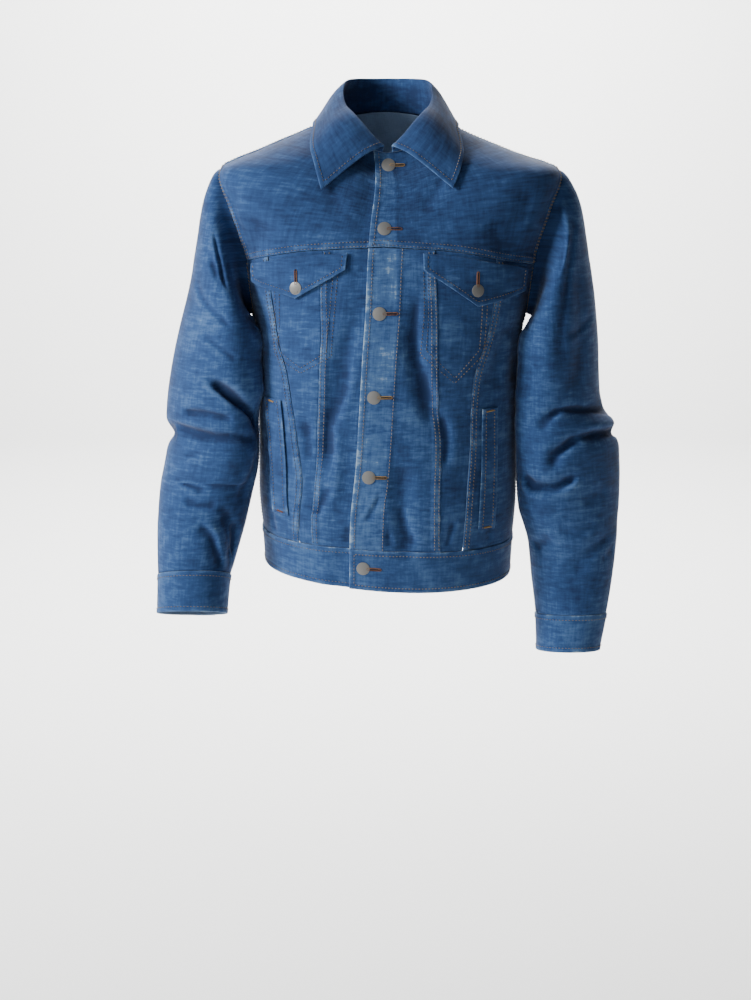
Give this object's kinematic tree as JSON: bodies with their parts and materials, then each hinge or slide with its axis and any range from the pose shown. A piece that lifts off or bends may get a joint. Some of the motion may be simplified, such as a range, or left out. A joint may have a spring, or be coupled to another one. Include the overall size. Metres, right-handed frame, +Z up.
{
  "type": "denim jacket",
  "caption": "Hollow worn denim jacket, buttoned, with folded collar, yokes, flap pockets, slanted hand pockets, two-piece sleeves, cuffs and a waistband.",
  "frame": {"origin": "base of the neck between the shoulders, where the wearer's shoulders hold the jacket up", "axes": "+Z up, -Y out of the jacket's front, +X to the wearer's left"},
  "size_m": [0.6105, 0.254, 0.7503],
  "materials": {
    "denim": "slubby indigo denim, washed at the edges",
    "pocketing": "plain cotton cloth",
    "metal": "dull silver shank buttons"
  },
  "bodies": {
    "root": {"front_yoke_left": "denim", "front_yoke_right": "denim", "front_centre_left": "denim", "front_centre_right": "denim", "front_middle_left": "denim", "front_middle_right": "denim", "front_side_left": "denim", "front_side_right": "denim", "back_yoke": "denim", "back_panel": "denim", "waistband_left": "denim", "waistband_right": "denim", "waistband_back": "denim", "collar": "denim", "sleeve_top_left": "denim", "sleeve_top_right": "denim", "sleeve_under_left": "denim", "sleeve_under_right": "denim", "cuff_left": "denim", "cuff_right": "denim", "pocket_flap_left": "denim", "pocket_flap_right": "denim", "hand_pocket_left": "denim", "hand_pocket_right": "denim", "chest_pocket_left": "pocketing", "chest_pocket_right": "pocketing", "button_neck": "metal", "button_yoke": "metal", "button_chest": "metal", "button_waist": "metal", "button_belly": "metal", "button_band": "metal", "button_flap_left": "metal", "button_flap_right": "metal", "button_cuff_left": "metal", "button_cuff_right": "metal"}
  },
  "joints": []
}
